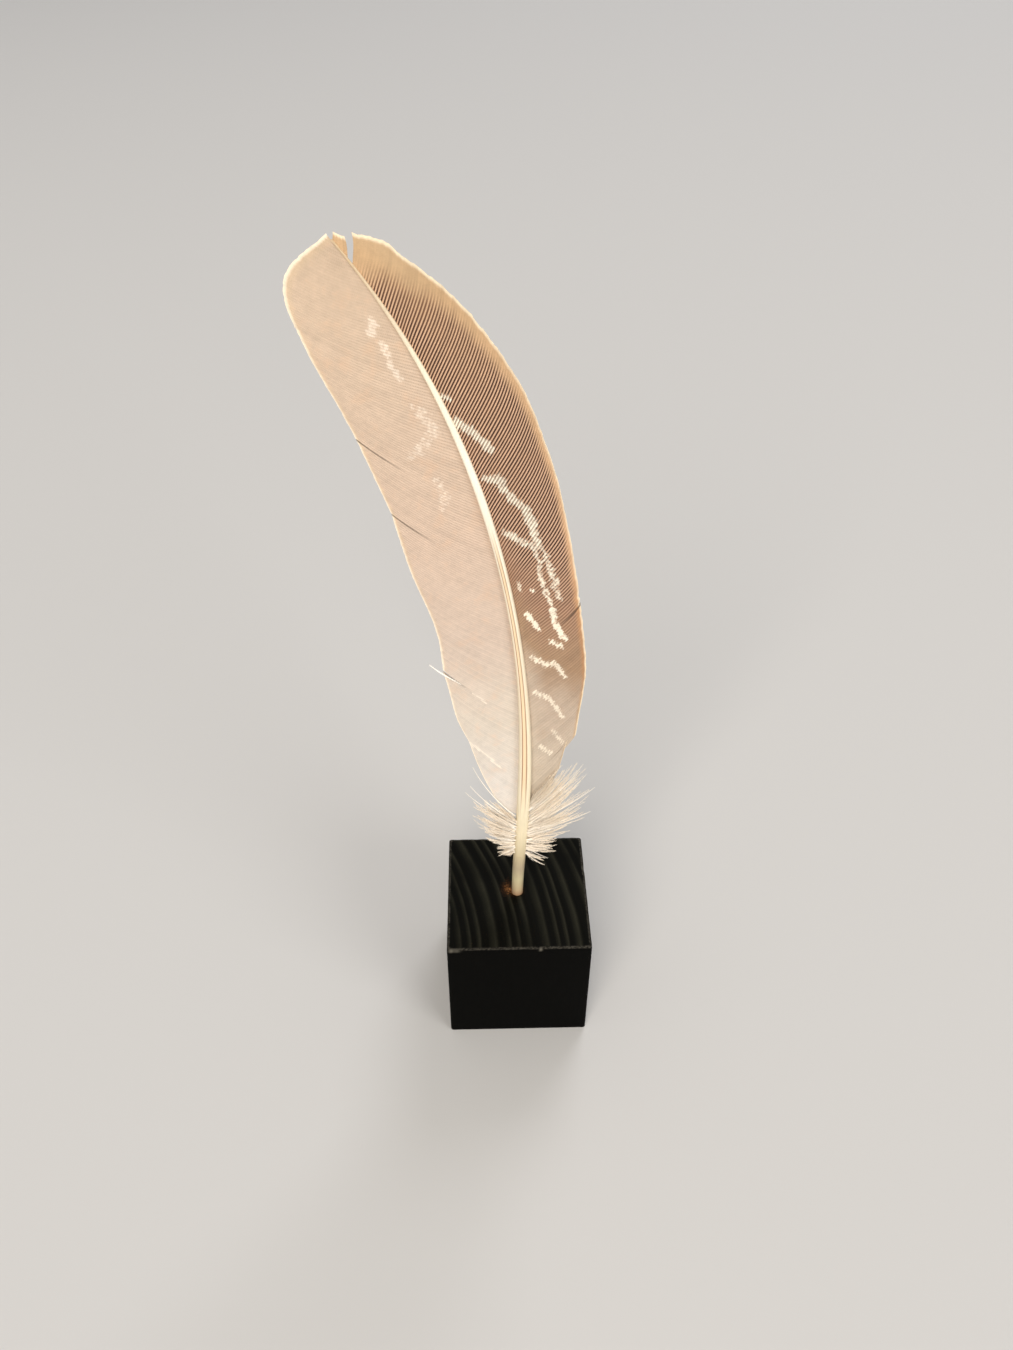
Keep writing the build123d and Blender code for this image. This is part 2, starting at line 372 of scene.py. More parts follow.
# pale marks: a chain of x, z points, half the band's width, and how broken up it is, from 0 to about 1
paleMarks = {
    "right": [
        ([(-12.3, 145.4), (-10.8, 144.7)], 0.5, 0.5),
        ([(-10.1, 140.8), (-8.0, 139.3), (-5.1, 136.1)], 0.9, 0.1),
        ([(-5.6, 130.6), (-4.0, 130.6), (-2.0, 127.0), (0.3, 125.0), (1.6, 121.7), (2.2, 118.3)], 0.95, 0.4),
        ([(2.2, 118.3), (4.1, 115.0), (5.2, 110.7), (6.6, 106.4)], 0.85, 0.95),
        ([(-2.8, 120.0), (-0.7, 118.5), (1.7, 117.1)], 0.8, 0.4),
        ([(1.7, 117.1), (3.0, 113.7), (3.1, 110.5), (4.4, 107.0), (5.4, 103.8)], 0.65, 0.8),
        ([(5.4, 103.8), (5.9, 100.9), (6.9, 98.5), (7.6, 97.3)], 0.75, 0.4),
        ([(5.4, 96.2), (7.4, 95.1)], 0.6, 0.4),
        ([(-0.6, 109.2), (-0.1, 107.6)], 0.5, 0.8),
        ([(1.6, 107.8), (2.2, 107.5)], 0.35, 0.4),
        ([(1.1, 102.3), (3.1, 99.0)], 0.6, 0.0),
        ([(2.3, 92.2), (4.9, 90.5), (6.2, 91.1), (8.0, 88.2)], 0.7, 0.5),
        ([(2.9, 83.8), (5.7, 82.5), (8.1, 78.2)], 0.65, 0.5),
        ([(6.5, 74.3), (8.6, 71.5)], 0.5, 0.7),
        ([(4.3, 70.4), (6.1, 68.9)], 0.6, 0.5),
    ],
    "left": [
        ([(-20.9, 156.6), (-21.2, 155.1)], 0.8, 0.5),
        ([(-19.9, 153.5), (-19.1, 151.5), (-18.7, 149.6), (-17.8, 148.2)], 0.6, 0.7),
        ([(-15.8, 143.1), (-13.3, 139.7), (-15.1, 136.9), (-16.8, 135.2)], 1.1, 1.0),
        ([(-13.5, 130.5), (-12.0, 127.5), (-12.8, 125.5)], 0.9, 1.1),
        ([(-9.8, 72.9), (-6.6, 69.5), (-3.7, 65.3)], 0.28, 0.0),
        ([(-8.6, 84.6), (-6.1, 81.8)], 0.25, 0.3),
    ],
}

# how far in from the margin the plain band reaches, mm, by the barb's root height
marginWidth = {
    "left": ((50, 160), (1.0, 1.0)),
    "right": ((60, 90, 110, 130, 150, 160, 165), (1.1, 1.4, 1.9, 2.2, 2.5, 3.6, 8.0)),
}


def distanceToRun(points, run):
    # shortest distance from each point to a chain of straight pieces, in the XZ plane
    nearest = np.full(points.shape[:-1], 1e9)
    for start, end in zip(run, run[1:]):
        start, end = np.array(start, float), np.array(end, float)
        along = end - start
        share = np.clip(((points - start) @ along) / (along @ along), 0, 1)
        nearest = np.minimum(nearest, np.linalg.norm(points - start - share[..., None] * along, axis=-1))
    return nearest


def barbCurves(rows, side, roots, stations, bend=1.0):
    # a barb is one cubic in the XZ plane: it leaves the shaft wider than its chord and ends steeper
    rows = np.array(rows, float)
    tips = np.stack([throughPoints(rows[:, 0], rows[:, k], roots) for k in (1, 2)], axis=-1)
    starts = shaftAt(roots)[:, [0, 2]]
    along = tips - starts
    square = np.stack([-along[:, 1], along[:, 0]], axis=-1) * (1 if side == "left" else -1)
    first, last = (math.tan(math.radians(vane[turn][side])) for turn in ("rootTurn", "tipTurn"))
    starts, tips, along, square = (a[:, None] for a in (starts, tips, along, square))
    q = np.linspace(0, 1, stations)[None, :, None]
    near = starts + (along + square * first * bend) / 3
    far = tips - (along - square * last * bend) / 3
    return (1 - q) ** 3 * starts + 3 * q * (1 - q) ** 2 * near + 3 * q**2 * (1 - q) * far + q**3 * tips


def evenRoots(rows, side):
    # root heights that put neighbours one spacing apart, square to the barbs and halfway out
    dense = np.linspace(rows[0][0], rows[-1][0], 300)
    trial = barbCurves(rows, side, dense, 5)
    step = np.gradient(trial[:, 2], axis=0)
    way = unit(trial[:, 3] - trial[:, 1])
    apart = np.abs(step[:, 0] * way[:, 1] - step[:, 1] * way[:, 0]) / np.interp(dense, *vane["spacing"][side])
    passed = np.concatenate([[0], np.cumsum((apart[1:] + apart[:-1]) / 2)])
    count = max(3, round(passed[-1]))
    return np.interp((np.arange(count) + 0.5) / count * passed[-1], passed, dense)


# one strip's section: across as a share of its width, height as shares of the ramus height and of the
# skirts' lap, and how far it has the ridge's colour
stripSection = [
    (-0.50, 0.0, -1.0, 0.0),
    (-0.26, 0.0, -0.6, 0.0),
    (-0.15, 0.8, 0.0, 1.0),
    (0.00, 1.0, 0.0, 1.0),
    (0.15, 0.8, 0.0, 1.0),
    (0.26, 0.0, 0.6, 0.0),
    (0.50, 0.0, 1.0, 0.0),
    (0.40, -0.25, 0.4, 0.0),
    (0.00, -0.75, -0.4, 0.7),
    (-0.40, -0.25, -1.2, 0.0),
]

strip = {
    # how far the ramus stands up at its root, mm, by height
    "ramusRoot": {"left": ((60, 105, 122, 148, 160), (0.008, 0.012, 0.045, 0.04, 0.008)),
                  "right": ((84, 106, 154, 165), (0.015, 0.14, 0.13, 0.04))},
    "ramusTip": 0.02, "lap": 0.008, "overlap": 1.14, "taperMm": 0.4, "taperTo": 0.6,
    "bandRelief": 0.3,     # share of the relief left in the margin's plain band
    "bandJitter": 0.08,
    "tipJitter": {"left": 0.05, "right": 0.08}, "tipWave": {"left": 0.03, "right": 0.13},
    "splitBarbs": 4.0,     # a split draws about this many barbs away on either side
    # slow waves from barb to barb: barbs from one knot to the next, and how far they go
    "bendWave": (8, 0.12), "bunchWave": (5, 0.09), "rippleWave": (9, 0.10), "tipWaveBarbs": 6,
    # how far below 0 a tucked barb's own number goes, for painted shadow from the web above, and over which
    # share of its length
    "tuckShadowBelow": 5, "tuckShadowFrom": (0.55, 0.85),
    "bandFrom": (-1.7, -0.4), "rimFrom": (-0.7, -0.15),    # the band in shares of its width, the rim in mm
    "markWander": 0.12, "markReach": 1.35, "markSoft": 1.6, "markBroken": 0.35,
}


def makeWeb(name, side, web, material):
    generator = np.random.default_rng(sum(map(ord, name)))
    roots = evenRoots(web["rows"], side)
    count, stations = len(roots), vane["stations"]
    number = np.arange(count)[:, None]
    fromLow = np.exp(-number / strip["splitBarbs"])
    fromHigh = np.exp(-(count - 1 - number) / strip["splitBarbs"])
    inWeb = (1 - fromLow) * (1 - fromHigh)      # webs meet without a step where nothing parts them

    def wave(knotBarbs, size):
        return size * slowNoise(count, knotBarbs, generator)[:, None] * inWeb

    bend = 1 + wave(*strip["bendWave"])
    flat = barbCurves(web["rows"], side, roots, stations, bend[:, :, None])
    q = np.linspace(0, 1, stations)[None, :]
    # at a split the barbs draw away along the margin, and elsewhere they bunch a little
    marginWay = unit(np.gradient(flat[:, -1], axis=0))[:, None, :]
    part = (web["open"][0] * fromLow - web["open"][1] * fromHigh) * q**4
    bunch = wave(*strip["bunchWave"]) * np.sin(np.pi * q)
    flat = flat + marginWay * (part + bunch)[..., None]
    uneven = generator.normal(0, strip["tipJitter"][side], (count, 1))
    reach = (uneven + wave(strip["tipWaveBarbs"], strip["tipWave"][side])) * q**6
    flat = flat + unit(np.gradient(flat, axis=1)) * reach[..., None]
    x, z = flat[..., 0], flat[..., 1]
    path = onVane(x, z)
    normal = vaneNormal(x, z)
    ripple = wave(*strip["rippleWave"]) * q**1.5
    lift = (web["lift"][0] * fromLow + web["lift"][1] * fromHigh) * q**2
    path = path + normal * (ripple + lift)[..., None]
    # a strip reaches halfway to its neighbour on either side, so the web has no gaps and one even margin
    step = np.diff(path, axis=0)
    toLower = -np.concatenate([step[:1], step]) * strip["overlap"]
    toUpper = np.concatenate([step, step[-1:]]) * strip["overlap"]
    length = np.linalg.norm(np.diff(path, axis=1), axis=-1).sum(1)[:, None]
    left = (1 - q) * length
    thin = strip["taperTo"] + (1 - strip["taperTo"]) * np.clip(left / strip["taperMm"], 0, 1)
    ramusRoot = np.interp(roots, *strip["ramusRoot"][side])[:, None]
    ramus = ramusRoot + (np.minimum(ramusRoot, strip["ramusTip"]) - ramusRoot) * q**0.7
    section = np.array(stripSection)
    across = section[:, 0][None, None, :, None]
    reach = np.where(across < 0, -across * toLower[:, :, None], across * toUpper[:, :, None])
    # the margin's plain band, where the rami sink in
    wide = np.interp(roots, *marginWidth[side])[:, None]
    wide = wide + generator.normal(0, strip["bandJitter"], (count, 1))
    band = smoothStep(-left, *(share * wide for share in strip["bandFrom"]))
    relief = 1 - (1 - strip["bandRelief"]) * band
    ramus = ramus * relief
    lap = strip["lap"] * relief
    rise = (section[:, 1] * ramus[..., None] + section[:, 2] * lap[..., None]) * thin[..., None]
    points = path[:, :, None] + reach + normal[:, :, None] * rise[..., None]
    around = len(section)
    faces = tubeFaces(count, stations, around)
    if side == "left":
        faces = [face[::-1] for face in faces]
    piece = newPiece(name, points, faces, material, "feather", creaseDeg=80)
    # for the material: mm along the barb, share across it, the barb's own random number
    place = np.empty((count, stations, around, 3))
    place[..., 0] = (q * length)[..., None]
    place[..., 1] = section[:, 0]
    place[..., 2] = generator.random((count, 1, 1))
    # a tucked barb's own number goes far below 0: painted shadow where it lies under the web above
    tucked = strip["tuckShadowBelow"] * web.get("shade", 0) * smoothStep(q[0], *strip["tuckShadowFrom"])
    place[-1, ..., 2] -= tucked[:, None]
    storeVectors(piece, "barbPlace", place)
    # and: ramus or barbules, pale mark, nearness to the margin (1 to 2 over its outermost rim)
    own = generator.normal(0, strip["markWander"], (count, 1))
    pale = np.zeros((count, stations))
    for run, half, broken in paleMarks[side]:
        inside = 1 + own - distanceToRun(flat, run) / (strip["markReach"] * half)
        mark = np.clip(inside * strip["markSoft"], 0, 1) * (1 - strip["markBroken"] * broken)
        pale = np.maximum(pale, mark)
    look = np.empty_like(place)
    look[..., 0] = section[:, 3]
    look[..., 1] = pale[..., None]
    look[..., 2] = (band + smoothStep(-left, *strip["rimFrom"]))[..., None]
    storeVectors(piece, "barbLook", look)
    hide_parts(name)
    return count


# materials of the vane

# beta keratin, grown as barbs hooked together by barbules: the eye sees fine lines along the barbs,
# a dry silky sheen, and pigment that differs from barb to barb
leftVaneLook = {
    # colours by height in mm, foot to tip
    "ramus": ((60, "#D7CEC4"), (78, "#D2C6B6"), (95, "#CEBBAA"), (118, "#D1BAA6"), (150, "#CDB59E"),
              (166, "#C4AD94")),
    "barbule": ((60, "#D3CABF"), (78, "#CEC1B1"), (95, "#C9B5A4"), (118, "#C7AE99"), (150, "#C9B29A"),
                (166, "#C3AB92")),
    "margin": ((60, "#D7CCBD"), (78, "#D3C4B1"), (95, "#D1B9A0"), (118, "#D3B694"), (150, "#D3B998"),
               (166, "#CCB290")),
    "cloudMm": 5, "nearShaft": 0, "marginShare": 0.6, "rim": "#F1E1C8", "ownTone": 0.03,
    "pale": "#F6E8D6", "paleRamus": 0.6, "paleBarbule": 0.4, "solidBelow": (60, 70),
    "faintBelow": (40, 50), "faintTo": 0.6, "mottle": "#C9A07D", "mottleShare": 0.28,
}
rightVaneLook = {
    "ramus": ((60, "#BFB19E"), (80, "#B9A694"), (92, "#A38569"), (104, "#B08B72"), (116, "#CEA88B"),
              (148, "#D1AB8A"), (160, "#C4A07D"), (168, "#C0A17C")),
    "barbule": ((60, "#BCAD9A"), (80, "#B5A28E"), (92, "#9A7D62"), (104, "#84644D"), (116, "#43281B"),
                (148, "#4A2E20"), (160, "#785741"), (168, "#BB9B77")),
    "margin": ((60, "#BEA68D"), (80, "#B69776"), (92, "#B0845E"), (104, "#BE9067"), (116, "#D1A882"),
               (148, "#CBA67E"), (160, "#C09F78"), (168, "#BFA17C")),
    # beside the shaft the colours are those of a place nearShaft mm lower
    "cloudMm": 5, "nearShaft": 11, "marginShare": 0.96, "rim": "#EFDCBC", "ownTone": 0.08,
    "pale": "#F4E8D2", "paleRamus": 1.0, "paleBarbule": 0.35, "solidBelow": (104, 124),
    "faintBelow": (76, 102), "faintTo": 0.6, "mottle": "#8F6748", "mottleShare": 0.2,
}


def vaneMaterial(name, look):
    material, add, here = newMaterial(name)
    along, across, own = storedParts(add, "barbPlace")
    ridge, pale, margin = storedParts(add, "barbLook")
    height = add("SeparateXYZ", {0: here}).outputs["Z"]
    # colour by height, with a cloudy edge between the plain foot and the barred top
    cloud = add("TexNoise", {"Scale": perMetre(7), "Detail": 2.0, "Vector": here})
    centred = add("Math", {"operation": "SUBTRACT", 0: cloud, 1: 0.5})
    wander = add("Math", {"operation": "MULTIPLY_ADD", 0: centred, 1: look["cloudMm"] * 2 * mm, 2: height})
    lower = -look["nearShaft"] * mm
    beside = add("MapRange", {"Value": along, "From Max": 6.0, "To Min": lower, "To Max": 0.0})
    level = add("Math", {"operation": "ADD", 0: wander, 1: beside})
    ramus, barbule, edge = (colorsByHeight(add, level, look[part]) for part in ("ramus", "barbule", "margin"))
    ground = add("Mix", {**mixed, "Factor": ridge, "A": barbule, "B": ramus})
    # darker mottles some 3 mm across
    blotch = add("TexNoise", {"Scale": perMetre(3), "Detail": 3.0, "Roughness": 0.6, "Vector": here})
    blotched = add("MapRange", {"Value": blotch, "From Min": 0.52, "From Max": 0.75,
                                "To Max": look["mottleShare"]})
    mottled = add("Mix", {**mixed, "Factor": blotched, "A": ground, "B": look["mottle"]})
    # the margin's plain band, then its pale rim
    band = add("MapRange", {"Value": margin, "To Max": look["marginShare"]})
    edged = add("Mix", {**mixed, "Factor": band, "A": mottled, "B": edge})
    outermost = add("MapRange", {"Value": margin, "From Min": 1.0, "From Max": 2.0})
    rimmed = add("Mix", {**mixed, "Factor": outermost, "A": edged, "B": look["rim"]})
    # pale marks have ragged outlines; high up they bleach the rami more than the barbules, low down both
    fray = add("TexNoise", {"Scale": perMetre(0.65), "Detail": 3.0, "Roughness": 0.65, "Vector": here})
    frayed = add("Math", {"operation": "MULTIPLY_ADD", 0: fray, 1: 1.9, 2: pale})
    mark = add("MapRange", {"Value": frayed, "From Min": 1.38, "From Max": 1.8})
    (solidLow, solidHigh), (faintLow, faintHigh) = look["solidBelow"], look["faintBelow"]
    solid = add("MapRange", {"Value": wander, "From Min": solidLow * mm, "From Max": solidHigh * mm,
                             "To Min": look["paleRamus"], "To Max": look["paleBarbule"]})
    bleach = add("MapRange", {"Value": ridge, "To Min": solid, "To Max": look["paleRamus"]})
    strength = add("MapRange", {"Value": wander, "From Min": faintLow * mm, "From Max": faintHigh * mm,
                                "To Min": look["faintTo"]})
    bleached = add("Math", {"operation": "MULTIPLY", 0: strength, 1: bleach})
    paleShare = add("Math", {"operation": "MULTIPLY", 0: mark, 1: bleached})
    marked = add("Mix", {**mixed, "Factor": paleShare, "A": rimmed, "B": look["pale"]})
    # each barb is a little lighter or darker at random; a tucked one's own number is far below 0, so it turns
    # dark: painted shadow from the web above
    ownTone = add("Math", {"operation": "MULTIPLY_ADD", 0: own, 1: look["ownTone"], 2: 0.77})
    tucked = add("Math", {"operation": "MINIMUM", 0: own, 1: 0.5})
    shaded = add("Math", {"operation": "MULTIPLY_ADD", 0: tucked, 1: 0.09, 2: ownTone})
    # freckles 1.5 mm across, with fine ones within them
    freckle = add("TexNoise", {"Scale": perMetre(1.5), "Detail": 5.0, "Roughness": 0.75, "Vector": here})
    tone = add("Math", {"operation": "MULTIPLY_ADD", 0: freckle, 1: 0.42, 2: shaded})
    color = add("Mix", {**multiplied, "A": marked, "B": tone})
    # barbules run out from the ramus at a slant, 0.05 mm apart; drawn 0.25 mm apart so that they show
    lean = add("Math", {"operation": "ABSOLUTE", 0: across})
    slant = add("Math", {"operation": "MULTIPLY_ADD", 0: lean, 1: -0.4, 2: along})
    wave = add("Math", {"operation": "MULTIPLY", 0: slant, 1: 2 * math.pi / 0.25})
    ribs = add("Math", {"operation": "SINE", 0: wave})
    bump = add("Bump", {"Strength": 0.35, "Distance": 0.03 * mm, "Height": ribs})
    return surfaced(material, {"Base Color": color, "Normal": bump, "Roughness": 0.6,
                               "Specular IOR Level": 0.3, "Sheen Weight": 0.15, "Sheen Roughness": 0.4})


# the shaft, with its groove down the inner face

shaftShape = {
    "stations": 260, "around": 48, "low": 42.0, "high": 167.6,
    "grooveDepth": 0.15, "grooveWidthDeg": 19, "grooveTurnDeg": -6, "grooveRun": (52, 64, 112, 124),
    "squareness": 0.05,
}


def makeShaft(shape, material):
    # rings of (1 - squareness*cos 4a) radii round the centre line, less a bell-shaped groove at -Y;
    # the groove is a little to the right of the middle and fades out both ways
    heights = np.linspace(shape["low"], shape["high"], shape["stations"])
    t = np.interp(heights, denseLine[:, 2], denseT)
    point, slope = shaftPoint(t)
    way = unit(slope)
    across = unit(np.cross(way, np.array([0.0, -1.0, 0.0])))     # to the shaft's +X side
    front = np.cross(across, way)
    angle = np.linspace(0, 2 * np.pi, shape["around"], endpoint=False)
    radius = throughPoints(shaftLine["heights"], shaftLine["radii"], heights)
    fromFront = (np.degrees(angle) - shape["grooveTurnDeg"] + 180) % 360 - 180
    run = shape["grooveRun"]
    present = smoothStep(heights, run[0], run[1]) * (1 - smoothStep(heights, run[2], run[3]))
    groove = shape["grooveDepth"] * bell(fromFront, 0, shape["grooveWidthDeg"])
    ring = 1 - shape["squareness"] * np.cos(4 * angle)
    reach = radius[:, None] * (ring[None, :] - groove[None, :] * present[:, None])
    points = ringsAround(point, front, across, reach, shape["around"])
    faces = tubeFaces(1, shape["stations"], shape["around"])
    piece = newPiece("shaft_horn", points, faces, material, "feather", creaseDeg=60)
    place = np.empty((shape["stations"], shape["around"], 3))
    place[..., 0] = heights[:, None]
    place[..., 1] = np.abs(fromFront)[None, :] / 90
    place[..., 2] = present[:, None]
    storeVectors(piece, "shaftPlace", place)
    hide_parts("shaft")


# solid horn, grown smooth: a bright satin cream with fine lengthwise streaks; the groove's two lips are dark
# amber, amber horn with painted shade of the groove's walls
shaftLook = {
    "horn": ((42, "#C6B692"), (48, "#E0D1AF"), (60, "#E6DABD"), (85, "#E8D9BD"), (112, "#EEE4CC"),
             (132, "#FAF2DF"), (148, "#F2E8CF"), (165, "#CDB490")),
    # across, as a share of a quarter turn from the groove's middle: its bed, its lip (amber with painted
    # shade), plain horn
    "bed": "#EAD0AA", "lipShade": "#93592B", "places": (0.13, 0.21, 0.29), "back": "#DCC294",
}


def shaftMaterial(look):
    material, add, here = newMaterial("shaftHorn")
    height, fromGroove, groove = storedParts(add, "shaftPlace")
    drawn = add("Mapping", {"Scale": (1.0, 1.0, 0.04), "Vector": here})
    streak = add("TexNoise", {"Scale": perMetre(0.25), "Detail": 4.0, "Roughness": 0.6, "Vector": drawn})
    horn = colorsByHeight(add, height, look["horn"], 1)
    # bed, lip and plain horn across the groove; the lip's share of amber and painted shade peaks halfway
    bedEnd, lipMiddle, lipEnd = look["places"]
    bedShare = add("MapRange", {"Value": fromGroove, "From Min": bedEnd, "From Max": lipMiddle,
                                "To Min": 1.0, "To Max": 0.0})
    lipShadeShare = add("ValToRGB", {"stops": [(bedEnd, 0), (lipMiddle, 1), (lipEnd, 0)], "Fac": fromGroove})
    bedHere = add("Math", {"operation": "MULTIPLY", 0: bedShare, 1: groove})
    lipShadeHere = add("Math", {"operation": "MULTIPLY", 0: lipShadeShare, 1: groove})
    bedded = add("Mix", {**mixed, "Factor": bedHere, "A": horn, "B": look["bed"]})
    lipShaded = add("Mix", {**mixed, "Factor": lipShadeHere, "A": bedded, "B": look["lipShade"]})
    behind = add("MapRange", {"interpolation_type": "SMOOTHSTEP", "Value": fromGroove,
                              "From Min": 0.9, "From Max": 1.6})
    whole = add("Mix", {**mixed, "Factor": behind, "A": lipShaded, "B": look["back"]})
    tone = add("MapRange", {"Value": streak, "To Min": 0.86, "To Max": 1.12})
    color = add("Mix", {**multiplied, "A": whole, "B": tone})
    bump = add("Bump", {"Strength": 0.2, "Distance": 0.04 * mm, "Height": streak})
    return surfaced(material, {"Base Color": color, "Normal": bump, "Roughness": 0.4, "IOR": 1.55,
                               "Specular IOR Level": 0.45, "Coat Weight": 0.1, "Coat Roughness": 0.3})


# down: soft strands, each a thin barb with loose barbules on both sides

downFans = {
    # rows as for the webs; strands; spread to both faces in mm; shortest share of the length; length of the
    # barbules as a share; bare: single strands with few barbules, as root height, tip x, tip z
    "left_down": {
        "side": "left", "strands": 76, "spread": 2.0, "shortest": 0.4, "hairShare": 0.9,
        "rows": [(44.6, -5.6, 45.0), (46.2, -8.0, 49.0), (47.6, -9.4, 53.0), (49.0, -9.8, 57.0),
                 (50.6, -8.6, 58.6), (51.8, -5.0, 57.0)],
        "bare": [(50.2, -10.6, 59.9), (51.2, -9.6, 62.4), (52.2, -9.0, 67.2)]},
    "left_base_tuft": {
        "side": "left", "strands": 26, "spread": 1.6, "shortest": 0.35, "hairShare": 0.6,
        "rows": [(42.8, -3.3, 41.4), (44.0, -5.0, 43.0), (45.4, -4.6, 45.0)], "bare": []},
    "right_down": {
        "side": "right", "strands": 104, "spread": 2.2, "shortest": 0.4, "hairShare": 0.9,
        "rows": [(46.0, 8.6, 47.4), (47.6, 13.2, 52.4), (49.0, 14.6, 57.6), (50.6, 14.6, 62.6),
                 (52.2, 12.8, 66.2), (54.2, 11.0, 68.0), (56.5, 8.4, 67.0)],
        "bare": [(48.2, 14.6, 54.0), (50.4, 15.0, 61.6), (53.0, 12.4, 67.6)]},
    "right_base_tuft": {
        "side": "right", "strands": 36, "spread": 1.9, "shortest": 0.35, "hairShare": 0.6,
        "rows": [(42.8, 5.4, 40.6), (44.2, 7.8, 43.6), (46.6, 8.6, 46.4)], "bare": [(43.6, 6.4, 40.2)]},
}

strand = {
    "stations": 12, "around": 5, "thick": 0.085, "startOut": 0.8, "startFront": (-0.3, 0.75),
    "bow": (0.14, 0.10), "sideBow": 0.06,     # middle and spread, as shares of the length
    "hairs": 56, "hairMm": 2.6, "hairThick": 0.03, "hairLean": 0.30, "hairTurn": 0.6, "hairShrink": 0.86,
    # where the hairs stand along a strand and how unevenly, shares of the full length, spread of their tips,
    # the share of the way ahead and outward at a hair's middle, and its thickness from foot to tip
    "hairRun": (0.04, 0.97), "hairUneven": 0.01, "hairSizes": (0.5, 1.15), "hairWander": 0.06,
    "hairMiddle": (0.5, 0.62), "hairTaper": (1, 0.8, 0.25),
    "singleBow": 0.22, "singleSide": -0.4, "singleThick": 1.8, "singleHair": 0.3,
}


def hairRings(centres, first, second, radii):
    # three-sided rings round each hair's centres, across two directions
    rings = [ringsAround(centre, first, second, np.array([r]), 3) for centre, r in zip(centres, radii)]
    return np.stack(rings, axis=-3)


def makeDown(name, fan, material):
    # a strand is a straight run with a bow in it; its barbules leave it at a slant and make it a pointed wisp
    generator = np.random.default_rng(sum(map(ord, name)) + 5)
    rows, bare = np.array(fan["rows"], float), np.array(fan["bare"], float).reshape(-1, 3)
    stations, around = strand["stations"], strand["around"]
    roots = np.sort(generator.uniform(rows[0, 0], rows[-1, 0], fan["strands"]))
    tips = np.stack([np.interp(roots, rows[:, 0], rows[:, k]) for k in (1, 2)], axis=-1)
    reach = generator.uniform(fan["shortest"], 1.0, len(roots)) ** 0.8
    single = np.arange(len(roots) + len(bare)) >= len(roots)
    roots, tips = np.concatenate([roots, bare[:, 0]]), np.concatenate([tips, bare[:, 1:]])
    reach = np.concatenate([reach, np.ones(len(bare))])
    count = len(roots)
    starts = shaftAt(roots)
    sign = -1.0 if fan["side"] == "left" else 1.0
    starts[:, 0] += sign * shaftRadius(roots) * strand["startOut"]
    starts[:, 1] -= shaftRadius(roots) * generator.uniform(*strand["startFront"], count)
    ends = np.empty((count, 3))
    ends[:, [0, 2]] = starts[:, [0, 2]] + (tips - starts[:, [0, 2]]) * reach[:, None]
    sideways = np.where(single, strand["singleSide"], generator.normal(0, fan["spread"] * 0.5, count))
    ends[:, 1] = starts[:, 1] + sideways * reach
    along = ends - starts
    length = np.linalg.norm(along, axis=1)
    bow = np.where(single, strand["singleBow"], generator.normal(*strand["bow"], count))
    bend = np.cross(along, [0, 1, 0]) * bow[:, None] * sign
    bend[:, 1] += generator.normal(0, strand["sideBow"], count) * length
    q = np.linspace(0, 1, stations)[None, :, None]
    path = starts[:, None] + along[:, None] * q - bend[:, None] * (q * (1 - q))
    way = unit(np.gradient(path, axis=1))
    side1 = unit(np.cross(way, [0.0, 1.0, 0.0]))
    side2 = np.cross(way, side1)
    thick = strand["thick"] * np.where(single, strand["singleThick"], 1.0)[:, None, None] * (1 - 0.8 * q)
    stemPoints = ringsAround(path, side1, side2, thick, around).reshape(-1, 3)
    faces = tubeFaces(count, stations, around)
    # barbules: three-sided hairs, half of them on each side of the strand
    hairs = strand["hairs"]
    uneven = strand["hairUneven"]
    at = np.tile(np.linspace(*strand["hairRun"], hairs), (count, 1))
    at = at + generator.uniform(-uneven, uneven, (count, hairs))
    low = (at * (stations - 1)).astype(int)
    share = (at * (stations - 1) - low)[..., None]
    pick = np.arange(count)[:, None]
    base = path[pick, low] * (1 - share) + path[pick, low + 1] * share
    ahead, out1, out2 = way[pick, low], side1[pick, low], side2[pick, low]
    turn = np.where(np.arange(hairs) % 2 == 0, 0.0, np.pi)
    turn = turn + generator.normal(0, strand["hairTurn"], (count, hairs))
    outward = out1 * np.cos(turn)[..., None] + out2 * np.sin(turn)[..., None]
    size = strand["hairMm"] * fan["hairShare"] * (1 - strand["hairShrink"] * at)
    size = size * generator.uniform(*strand["hairSizes"], (count, hairs))
    size = (size * np.where(single, strand["singleHair"], 1.0)[:, None])[..., None]
    lean, (halfAhead, halfOut) = strand["hairLean"], strand["hairMiddle"]
    middle = base + (ahead * halfAhead + outward * lean * halfOut) * size
    wander = generator.normal(0, strand["hairWander"], (count, hairs, 3))
    tip = base + (ahead + outward * lean + wander) * size
    radii = [strand["hairThick"] * share for share in strand["hairTaper"]]
    hair = hairRings([base, middle, tip], out2, outward, radii)
    faces += tubeFaces(count * hairs, 3, 3, start=len(stemPoints))
    points = np.concatenate([stemPoints, hair.reshape(-1, 3)])
    piece = newPiece(name, points, faces, material, "feather")
    # for the material: share of the way out and the strand's own random number
    own = generator.random(count) * ~single
    place = np.zeros((len(points), 3))
    onStem, onHair = place[:len(stemPoints)], place[len(stemPoints):]
    onStem[:, 0] = np.broadcast_to(q, (count, stations, around)).ravel()
    onStem[:, 1] = np.repeat(own, stations * around)
    onHair[:, 0] = np.repeat(at.ravel(), 9)
    onHair[:, 1] = np.repeat(own, hairs * 9)
    storeVectors(piece, "downPlace", place)
    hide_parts(name)


# keratin down with unhooked barbules: matt and soft, creamy near the shaft and greyer at the ends
downLook = {"near": "#FFF9EE", "far": "#FCF0DD", "warm": "#F5DDBB"}


